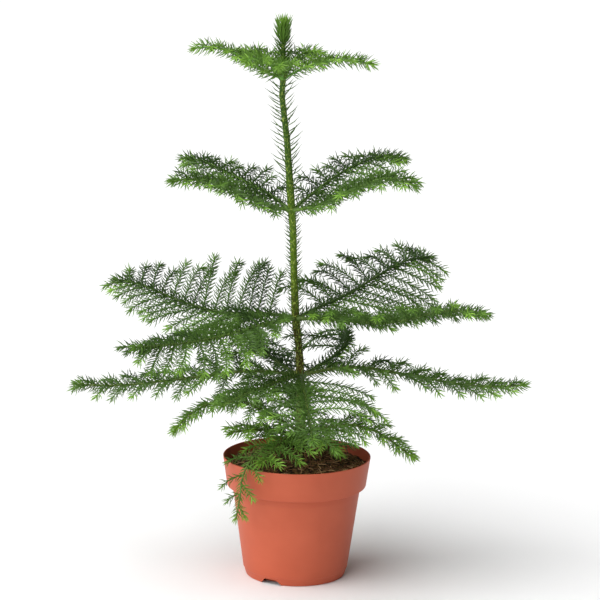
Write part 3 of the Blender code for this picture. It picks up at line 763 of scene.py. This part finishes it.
def make_pot():
    """Make the pot, and cut its foot notches and drainage holes."""
    pot = add_object("pot_shell", pot_shell())
    shape = bmesh.new()
    for azimuth in NOTCH_AZIMUTHS:
        notch_cutter(shape, azimuth)
    for hole in range(DRAIN_HOLES):
        heading = 2.0 * math.pi * (hole + 0.5) / DRAIN_HOLES
        middle = Vector((math.cos(heading), math.sin(heading), 0.0)) * DRAIN_CIRCLE * MM
        bore = bmesh.ops.create_cone(
            shape, cap_ends=True, segments=DRAIN_SIDES, radius1=DRAIN_RADIUS * MM,
            radius2=DRAIN_RADIUS * MM, depth=DRAIN_CUT_DEPTH * MM,
        )
        bmesh.ops.translate(shape, verts=bore["verts"], vec=middle)
    cutter = add_object("pot_cutter", finished_mesh("pot_cutter", shape))
    cut = pot.modifiers.new("Foot gaps and drainage", "BOOLEAN")
    cut.operation = "DIFFERENCE"
    cut.object = cutter
    cut.solver = "EXACT"
    graph = bpy.context.evaluated_depsgraph_get()
    pot.data = bpy.data.meshes.new_from_object(pot.evaluated_get(graph))
    pot.modifiers.clear()
    bpy.data.objects.remove(cutter, do_unlink=True)
    pot.data.materials.clear()
    pot.data.materials.append(terracotta_material())
    pot.data.shade_smooth()
    pot.data.set_sharp_from_angle(angle=math.radians(POT_SHARP_ANGLE))
    mount(pot, ["pot"])


# ---- the soil ----

def soil_height(radius):
    """Return the height of the soil at a distance from the pot's axis, all in millimetres."""
    along = (np.asarray(radius) - SOIL_FLAT_RADIUS) / (SOIL_MOUND_RADIUS - SOIL_FLAT_RADIUS)
    fall = 0.5 - 0.5 * np.cos(math.pi * np.clip(along, 0.0, 1.0))
    return SOIL_TOP + (SOIL_EDGE - SOIL_TOP) * fall


def soil_edge():
    """Return the radius at which the soil meets the pot's wall."""
    slope = (POT_RIM_RADIUS - POT_COLLAR_FOOT_RADIUS) / (POT_HEIGHT - POT_COLLAR_FOOT)
    return POT_COLLAR_FOOT_RADIUS - POT_WALL + slope * (SOIL_EDGE - POT_COLLAR_FOOT)


def soil_surface():
    """Return the lumpy surface of the soil, closed by a flat floor just inside the pot."""
    radii = soil_edge() * (np.arange(1, SOIL_RINGS + 1) / SOIL_RINGS)
    turns = 2.0 * math.pi * np.arange(SOIL_SIDES) / SOIL_SIDES
    vertices = []
    for radius in radii:
        height = float(soil_height(radius))
        for turn in turns:
            x, y = radius * math.cos(turn), radius * math.sin(turn)
            lumps = noise.fractal(Vector((x, y, 0.0)) * LUMP_SCALE, *LUMP_FRACTAL)
            vertices.append((x, y, height + LUMP_HEIGHT * lumps))
    bottom = SOIL_EDGE - SOIL_BED_DEPTH
    foot_radius = soil_edge() - SOIL_BED_MARGIN
    for turn in turns:
        vertices.append((foot_radius * math.cos(turn), foot_radius * math.sin(turn), bottom))
    vertices.append((0.0, 0.0, SOIL_TOP))
    vertices.append((0.0, 0.0, bottom))
    outward = ring_faces(SOIL_RINGS + 1, SOIL_SIDES)[:, ::-1]
    return np.array(vertices) * MM, outward


def soil_spot(rng):
    """Return a point on the soil's surface, spread evenly over it."""
    radius = math.sqrt(rng.uniform(LITTER_FROM ** 2, (soil_edge() - LITTER_MARGIN) ** 2))
    turn = rng.uniform(0.0, 2.0 * math.pi)
    return np.array((radius * math.cos(turn), radius * math.sin(turn), float(soil_height(radius))))


def soil_crumbs(rng):
    """Return small rough lumps strewn over the soil."""
    shape = bmesh.new()
    bmesh.ops.create_icosphere(shape, subdivisions=1, radius=1.0)
    ball = np.array([vertex.co[:] for vertex in shape.verts])
    faces = np.array([[vertex.index for vertex in face.verts] for face in shape.faces])
    shape.free()
    lumps = []
    for _ in range(CRUMBS):
        size = CRUMB_SMALLEST + CRUMB_GROWTH * rng.random() ** CRUMB_BIAS
        rough = np.array([rng.uniform(*CRUMB_ROUGHNESS) for corner in ball])[:, None]
        shares = (CRUMB_BREADTHS, CRUMB_BREADTHS, CRUMB_FLATNESS)
        squash = np.array([rng.uniform(*share) for share in shares])
        spot = soil_spot(rng)
        spot[2] += rng.uniform(*CRUMB_RISE)
        lumps.append(((ball * rough * squash * size + spot) * MM, faces))
    return lumps


def soil_fibres(rng, count, lengths, width):
    """Return thin curved fibres lying on the soil."""
    fibres = []
    for _ in range(count):
        length = rng.uniform(*lengths)
        heading = rng.uniform(0.0, 2.0 * math.pi)
        bend = rng.uniform(*FIBRE_BENDS)
        tilt = rng.uniform(*FIBRE_TILTS)
        course = [soil_spot(rng)]
        for step in range(FIBRE_STEPS):
            turn = heading + bend * step / FIBRE_STEPS
            rise = tilt * (1.0 - 2.0 * step / FIBRE_STEPS)
            move = np.array((math.cos(turn), math.sin(turn), rise)) * length / FIBRE_STEPS
            course.append(course[-1] + move)
        course = np.array(course)
        radii = np.hypot(course[:, 0], course[:, 1])
        course[:, 2] = np.maximum(course[:, 2], soil_height(radii) + FIBRE_LIFT)
        course[:, 2] += rng.uniform(*FIBRE_RISE)
        if radii.max() < soil_edge() - 1.0:
            fibres.append(tube(course * MM, width * MM * np.array(FIBRE_TAPER), 4))
    return fibres


def make_soil():
    """Make the soil's surface, its crumbs, and the fibres and straw that lie on it."""
    rng = random.Random(SOIL_SEED)
    soil = soil_material()
    peat = new_material("peat_fibre", (128, 88, 54), 0.9)[0]
    straw = new_material("pale_straw", (186, 150, 106), 0.8)[0]
    make_piece("soil_bed", [soil_surface()], soil, ["soil"])
    make_piece("soil_crumbs", soil_crumbs(rng), soil, ["soil"], smooth=False)
    for name, fibres, material in (
        ("soil_fibres", PEAT_FIBRES, peat),
        ("soil_straw", STRAWS, straw),
    ):
        make_piece(name, soil_fibres(rng, *fibres), material, ["soil"])


def filled_pot_distance(points):
    """Return a lower bound, in metres, of the points' distance to the filled pot."""
    x, y, z = np.moveaxis(points / MM, -1, 0)
    radius = np.hypot(x, y)
    above_soil = z - soil_height(np.minimum(radius, POT_RIM_RADIUS))
    over = np.where(radius > SOIL_MOUND_RADIUS, np.minimum(above_soil, z - POT_HEIGHT), above_soil)
    slope = (POT_RIM_RADIUS - POT_FOOT_RADIUS) / POT_HEIGHT
    cone = np.maximum(POT_FOOT_RADIUS, POT_COLLAR_FOOT_RADIUS + slope * (z - POT_COLLAR_FOOT))
    outside = radius - np.where(z < POT_COLLAR_FOOT, cone, POT_RIM_RADIUS)
    return np.maximum(over, outside) * MM


# ---- courses of the trunk, the boughs and the sprays ----

def trunk_at(height):
    """Return the trunk's centre and radius at a height in millimetres."""
    heights, xs, ys, radii = np.array(TRUNK_COURSE).T
    centre = np.array((np.interp(height, heights, xs), np.interp(height, heights, ys), height))
    return centre * MM, float(np.interp(height, heights, radii)) * MM


def side_and_top(direction):
    """Return the level direction to the left of a heading, and the one square to both."""
    side = unit(np.cross(UP, direction))
    return side, np.cross(direction, side)


def bough_course(bough):
    """Return the points along a bough from the trunk to its tip, and its heading at each step."""
    tier = TIERS[bough.tier]
    centre, radius = trunk_at(tier.height + bough.rise)
    share = (np.arange(COURSE_STEPS) + 0.5) / COURSE_STEPS
    stations = np.linspace(0.0, 1.0, len(bough.pitches))
    pitch = np.radians(np.interp(share, stations, bough.pitches))
    azimuth = np.radians(bough.azimuth + bough.turn * share)
    level = np.cos(pitch)
    headings = np.stack([level * np.cos(azimuth), level * np.sin(azimuth), np.sin(pitch)], axis=1)
    first = math.radians(bough.azimuth)
    start = centre + np.array((math.cos(first), math.sin(first), 0.0)) * radius
    steps = np.cumsum(headings * (bough.length * MM / COURSE_STEPS), axis=0)
    return np.vstack([start, start + steps]), headings


def spray_length(reach, share, rng):
    """Return a spray's length in millimetres: full along the middle, short at the tip."""
    shape = min(1.0, NEAR_SHORTNESS + share) * (1.0 - TIP_SHORTENING * share ** 2.0)
    return reach * shape * rng.uniform(*LENGTH_SCATTER)


def spray_courses(bough, seed):
    """Return the courses of a bough's sprays, set alternately on its left and right."""
    rng = random.Random(seed)
    points, headings = bough_course(bough)
    bare = TIERS[bough.tier].bare + FIRST_SPRAY
    courses = []
    distance, side_sign = bare, 1
    while distance < bough.length - LAST_SPRAY:
        share = (distance - bare) / (bough.length - bare)
        first_lift, last_lift, size, forward_curl = bough.left if side_sign > 0 else bough.right
        length = spray_length(TIERS[bough.tier].reach * size, share, rng) * MM
        sweep = FIRST_SWEEP + (LAST_SWEEP - FIRST_SWEEP) * share ** SWEEP_BIAS
        sweep = math.radians(sweep + rng.uniform(*SWEEP_SCATTER))
        lift = first_lift + (last_lift - first_lift) * share
        lift = math.radians(lift + rng.uniform(*LIFT_SCATTER))
        curl = forward_curl + rng.uniform(*CURL_SCATTER)
        sag = rng.uniform(*SAG)
        droop = rng.uniform(*END_DROOP)
        step = min(int(distance / bough.length * COURSE_STEPS), COURSE_STEPS - 1)
        forward = headings[step]
        side, top = side_and_top(forward)
        outward = side_sign * math.cos(lift) * side + math.sin(lift) * top
        heading = math.cos(sweep) * forward + math.sin(sweep) * outward
        pieces = max(4, round(length / (SPRAY_RING_STEP * MM)))
        bend = (np.arange(pieces)[:, None] + 0.5) / pieces
        fall = sag * bend + droop * bend ** 3
        moves = unit(heading + curl * bend * forward - fall * UP) * length / pieces
        courses.append(np.vstack([points[step], points[step] + np.cumsum(moves, axis=0)]))
        distance += TIERS[bough.tier].step * rng.uniform(*STEP_SCATTER)
        side_sign = -side_sign
    return courses


def as_segments(course, reach):
    """Return a course as an array of (start, end, reach) rows for the clearance tests."""
    reaches = np.full((len(course) - 1, 1), reach)
    return np.hstack([course[:-1], course[1:], reaches])


def is_clear(course, reach, kept_clear):
    """Say whether a course, swept by its reach, stays off the given segments and off the pot."""
    if filled_pot_distance(course).min() < reach:
        return False
    starts, ends, reaches = kept_clear[:, :3], kept_clear[:, 3:6], kept_clear[:, 6]
    spans = ends - starts
    squares = np.maximum((spans ** 2).sum(axis=1), 1e-12)
    offsets = course[:, None, :] - starts[None, :, :]
    shares = np.clip((offsets * spans).sum(axis=2) / squares, 0.0, 1.0)
    gaps = np.linalg.norm(offsets - shares[:, :, None] * spans, axis=2)
    return bool((gaps > reaches + reach).all())


def grow_sprays():
    """Return the sprays of every bough that keep clear of all other limbs and sprays."""
    stems = {bough.name: bough_course(bough)[0][::6] for bough in BOUGHS}
    trunk = np.array([(x, y, z) for z, x, y, radius in TRUNK_COURSE]) * MM
    kept = [as_segments(trunk, TRUNK_CLEARANCE * MM)]
    sprays = {}
    for number, bough in enumerate(BOUGHS):
        others = [
            as_segments(stem, BOUGH_CLEARANCE * MM)
            for name, stem in stems.items() if name != bough.name
        ]
        kept_clear = np.vstack(kept + others)
        sprays[bough.name] = []
        for course in spray_courses(bough, SPRAY_SEED + number):
            if is_clear(course, SPRAY_CLEARANCE * MM, kept_clear):
                sprays[bough.name].append(course)
                kept.append(as_segments(course[::2], SPRAY_CLEARANCE * MM))
    return sprays


# ---- needles ----

Needles = namedtuple("Needles", "roots ahead outward angle length width softness")


def needles_along(course, leafing, rng, start=0.0):
    """Return the needles of a twig, in a spiral along it."""
    steps = np.linalg.norm(np.diff(course, axis=0), axis=1)
    stations = np.concatenate([[0.0], np.cumsum(steps)])
    total = stations[-1]
    fine = np.linspace(start, total, SPACING_STEPS)
    softness = np.clip(1.0 - (total - fine) / (leafing.tip * MM), 0.0, 1.0)
    density = 1.0 / (leafing.spacing * MM * (1.0 - SOFT_CROWDING * softness))
    added = (density[1:] + density[:-1]) / 2 * np.diff(fine)
    counted = np.concatenate([[0.0], np.cumsum(added)])
    count = int(counted[-1])
    places = np.interp(np.arange(count) + 0.5, counted, fine)
    softness = np.clip(1.0 - (total - places) / (leafing.tip * MM), 0.0, 1.0)

    def sampled(values):
        return np.stack([np.interp(places, stations, values[:, axis]) for axis in range(3)], axis=1)

    centres = sampled(course)
    ahead, side, top = (unit(sampled(directions)) for directions in frames_along(course))
    turns = GOLDEN_ANGLE * np.arange(count) + rng.uniform(*SPIRAL_START)
    turns = turns + rng.normal(0.0, TURN_SCATTER, count)
    turns -= leafing.spread * np.sin(2.0 * turns)
    outward = np.cos(turns)[:, None] * side + np.sin(turns)[:, None] * top
    angle = leafing.angle * (1.0 - SOFT_CLOSING * softness ** SOFT_CLOSING_BIAS)
    angle = np.radians(angle + rng.normal(0.0, ANGLE_SCATTER, count))
    length = leafing.length * MM * (1.0 - SOFT_SHORTENING * softness)
    length = length * rng.uniform(*NEEDLE_LENGTHS, count)
    width = leafing.width * MM * rng.uniform(*NEEDLE_WIDTHS, count)
    return Needles(centres, ahead, outward, angle, length, width, softness)


def needle_mesh(needles):
    """Return the needles as curved three-sided awls."""
    count = len(needles.length)
    out = np.sin(needles.angle)[:, None] * needles.outward
    lean = out + np.cos(needles.angle)[:, None] * needles.ahead
    across = unit(np.cross(needles.ahead, needles.outward))
    back = np.cross(lean, across)
    rings = []
    for share, breadth in NEEDLE_RINGS:
        length = needles.length[:, None]
        centre = needles.roots + length * (share * lean + NEEDLE_CURVE * share ** 2 * needles.ahead)
        for corner in range(3):
            turn = math.radians(90.0 + 120.0 * corner)
            offset = across * math.cos(turn) + back * math.sin(turn)
            rings.append(centre + offset * (needles.width / 2 * breadth)[:, None])
    rings.append(needles.roots + needles.length[:, None] * (lean + NEEDLE_CURVE * needles.ahead))
    vertices = np.stack(rings, axis=1).reshape(-1, 3)
    faces = [(0, 2, 1)]
    for ring in range(len(NEEDLE_RINGS) - 1):
        for corner in range(3):
            near, near_next = 3 * ring + corner, 3 * ring + (corner + 1) % 3
            faces += [(near, near_next, near + 3), (near_next, near_next + 3, near + 3)]
    last, tip = 3 * (len(NEEDLE_RINGS) - 1), 3 * len(NEEDLE_RINGS)
    faces += [(last + corner, last + (corner + 1) % 3, tip) for corner in range(3)]
    stride = np.arange(count)[:, None, None] * (tip + 1)
    return vertices, (np.array(faces)[None, :, :] + stride).reshape(-1, 3)


def chosen(needles, wanted):
    """Return only the wanted needles."""
    return Needles(*(values[wanted] for values in needles))


def off_the_pot(needles):
    """Return only the needles whose tips stay out of the filled pot."""
    tips = needles.roots + (needles.outward + 0.5 * needles.ahead) * needles.length[:, None]
    return chosen(needles, filled_pot_distance(tips) > 0.0)


def deal_tones(needles, tone, growth, dealt):
    """Deal a twig's needles out to the tones: its own, and the fresher ones of its soft tip; the
    steps passed in hold painted light and shade as well as age.
    """
    zone = np.where(needles.softness > 0.0, growth, 0)
    tones = np.minimum(tone + zone, len(NEEDLE_TONES) - 1)
    for index in range(len(NEEDLE_TONES)):
        wanted = tones == index
        if wanted.any():
            dealt[index].append(needle_mesh(chosen(needles, wanted)))


def painted_light_step(course):
    """Return 1 for a twig that doesn't point away from the viewer, which gets painted light in its
    needles' tones, else 0.
    """
    span = course[-1] - course[0]
    return int(span[1] < PAINTED_LIGHT_LIMIT * np.linalg.norm(span))


def limb_radii(bough, stations):
    """Return a bough's radii along it: swollen at the trunk, tapering to the tip."""
    start = TIERS[bough.tier].radius
    taper = start + (BOUGH_END_RADIUS - start) * np.minimum(1.0, stations / bough.length)
    swelling = BOUGH_SWELLING * np.exp(-stations / BOUGH_SWELLING_LENGTH)
    return (taper * (1.0 + swelling)) * MM


def cushions(stations, sides, pitch, height):
    """Return the relief of the diamond-shaped leaf cushions round a limb."""
    turns = 2.0 * math.pi * np.arange(sides) / sides
    rows = stations[:, None] / pitch * math.pi
    left = np.cos(rows + 2.0 * turns[None, :])
    right = np.cos(rows - 3.0 * turns[None, :])
    return height * MM * np.maximum(0.0, left * right)


def bough_mesh(bough):
    """Return a bough from inside the trunk to its tip, with the relief of its leaf cushions."""
    points, headings = bough_course(bough)
    stations = np.linspace(0.0, bough.length, COURSE_STEPS + 1)
    course = np.vstack([points[0] - headings[0] * BOUGH_ROOT * MM, points])
    stations = np.concatenate([[-BOUGH_ROOT], stations])
    radii = limb_radii(bough, np.maximum(stations, 0.0))
    radii[-1] *= BOUGH_POINT
    relief = cushions(stations, BOUGH_SIDES, *BOUGH_CUSHIONS)
    return tube(course, radii[:, None] + relief, BOUGH_SIDES)


def trunk_mesh():
    """Return the trunk with its leaf cushions, shallow fissures and flared foot."""
    foot = TRUNK_COURSE[0][0] - TRUNK_FOOT_DEPTH
    heights = np.arange(foot, TRUNK_COURSE[-1][0] + TRUNK_TIP_HEIGHT, TRUNK_ROW_STEP)
    course = np.array([trunk_at(height)[0] for height in heights])
    course[:, 2] = heights * MM
    radii = np.array([trunk_at(height)[1] for height in heights])
    turns = 2.0 * math.pi * np.arange(TRUNK_SIDES) / TRUNK_SIDES
    relief = cushions(heights, TRUNK_SIDES, *TRUNK_CUSHIONS)
    rough = np.empty((len(heights), TRUNK_SIDES))
    around, along = FISSURE_SCALES
    for row, height in enumerate(heights):
        age = min(1.0, max(0.0, (YOUNG_BARK_FROM - height) / BARK_AGEING))
        depth = FISSURE_DEPTH + FISSURE_AGEING * age
        for column, turn in enumerate(turns):
            spot = Vector((around * math.cos(turn), around * math.sin(turn), height * along))
            rough[row, column] = depth * noise.fractal(spot, *FISSURE_FRACTAL)
    return tube(course, radii[:, None] + relief + rough * MM, TRUNK_SIDES)


def trunk_needles(leafing, first, last, rng):
    """Return the needles that stand singly on a stretch of the trunk."""
    course = np.array([trunk_at(height)[0] for height in np.linspace(first, last, 60)])
    needles = needles_along(course, leafing, rng)
    radii = np.array([trunk_at(height)[1] for height in needles.roots[:, 2] / MM])
    return needles._replace(length=needles.length + radii)


def make_trunk(materials):
    """Make the trunk, its needles, and the bright tuft round the bud that ends it."""
    rng = np.random.default_rng(TRUNK_SEED)
    make_piece("trunk_bark", [trunk_mesh()], trunk_material(), ["trunk"])
    upper_whorl, top_whorl = TIERS["upper"].height, TIERS["top"].height
    end, x, y, _ = TRUNK_COURSE[-1]
    stretches = (
        (OLD_TRUNK_LEAFING, TRUNK_NEEDLES_FROM, upper_whorl),
        (YOUNG_TRUNK_LEAFING, upper_whorl, top_whorl),
        (LEADER_LEAFING, top_whorl, end),
    )
    shapes = [needle_mesh(trunk_needles(*stretch, rng)) for stretch in stretches]
    make_piece("trunk_needles", shapes, materials[1], ["trunk"], smooth=False)
    foot = np.array((x, y, end - TUFT_DEPTH)) * MM
    stations = np.linspace(0.0, 1.0, 8)
    course = foot + UP * TUFT_LENGTH * MM * stations[:, None]
    needles = needles_along(course, TUFT_LEAFING, rng)
    outer = needles.softness < TUFT_INNER_FROM
    core = tube(course, (TUFT_CORE_RADIUS - TUFT_CORE_TAPER * stations) * MM, TUFT_CORE_SIDES)
    for name, shapes, material in (
        ("tuft_outer_needles", [needle_mesh(chosen(needles, outer))], materials[2]),
        ("tuft_inner_needles", [core, needle_mesh(chosen(needles, ~outer))], materials[3]),
    ):
        make_piece(name, shapes, material, ["leader_tuft"], smooth=False)


def make_foliage(materials):
    """Make the boughs, twigs and needles of every tier as joined pieces."""
    sprays = grow_sprays()
    tones = random.Random(TONE_SEED)
    for tier_name, tier in TIERS.items():
        boughs = [bough for bough in BOUGHS if bough.tier == tier_name]
        foliage_nodes = [bough.name + "_foliage" for bough in boughs]
        limbs, twigs = [], []
        dealt = [[] for tone in NEEDLE_TONES]
        for bough in boughs:
            rng = np.random.default_rng(BOUGHS.index(bough))
            limbs.append(bough_mesh(bough))
            points = bough_course(bough)[0]
            needles = needles_along(points, tier.bough_leafing, rng, BOUGH_NEEDLES_FROM * MM)
            # Painted shade: a bough's needles are one tone darker unless the bough faces the
            # viewer.
            deal_tones(off_the_pot(needles), tier.tone - 1 + painted_light_step(points), 1, dealt)
            for course in sprays[bough.name]:
                taper = np.linspace(SPRAY_RADIUS, SPRAY_END_RADIUS, len(course)) * MM
                twigs.append(tube(course, taper, SPRAY_SIDES))
                # Painted light and shade: a spray facing the viewer is dealt its tier's tone or a
                # lighter one, and sometimes a brighter soft tip; one pointing away gets its tier's
                # tone or a darker one.
                lit = painted_light_step(course)
                tone = tier.tone + tones.choice(PAINTED_LIGHT_TONES if lit else PAINTED_SHADE_TONES)
                growth = 1 + lit * tones.choice(PAINTED_LIGHT_GROWTH)
                needles = needles_along(course, tier.spray_leafing, rng)
                deal_tones(off_the_pot(needles), tone, growth, dealt)
        bark = limb_material(tier_name + "_bough_bark", LIMB_COLOURS[tier_name])
        limb_nodes = [bough.name + "_bough" for bough in boughs] + foliage_nodes
        make_piece(tier_name + "_boughs", limbs, bark, limb_nodes)
        make_piece(tier_name + "_twigs", twigs, materials[tier.tone], foliage_nodes)
        for (tone_name, _), shapes, material in zip(NEEDLE_TONES, dealt, materials):
            if shapes:
                name = f"{tier_name}_needles_{tone_name}"
                make_piece(name, shapes, material, foliage_nodes, smooth=False)


make_studio()
make_pot()
make_soil()
needle_tones = needle_materials()
make_trunk(needle_tones)
make_foliage(needle_tones)
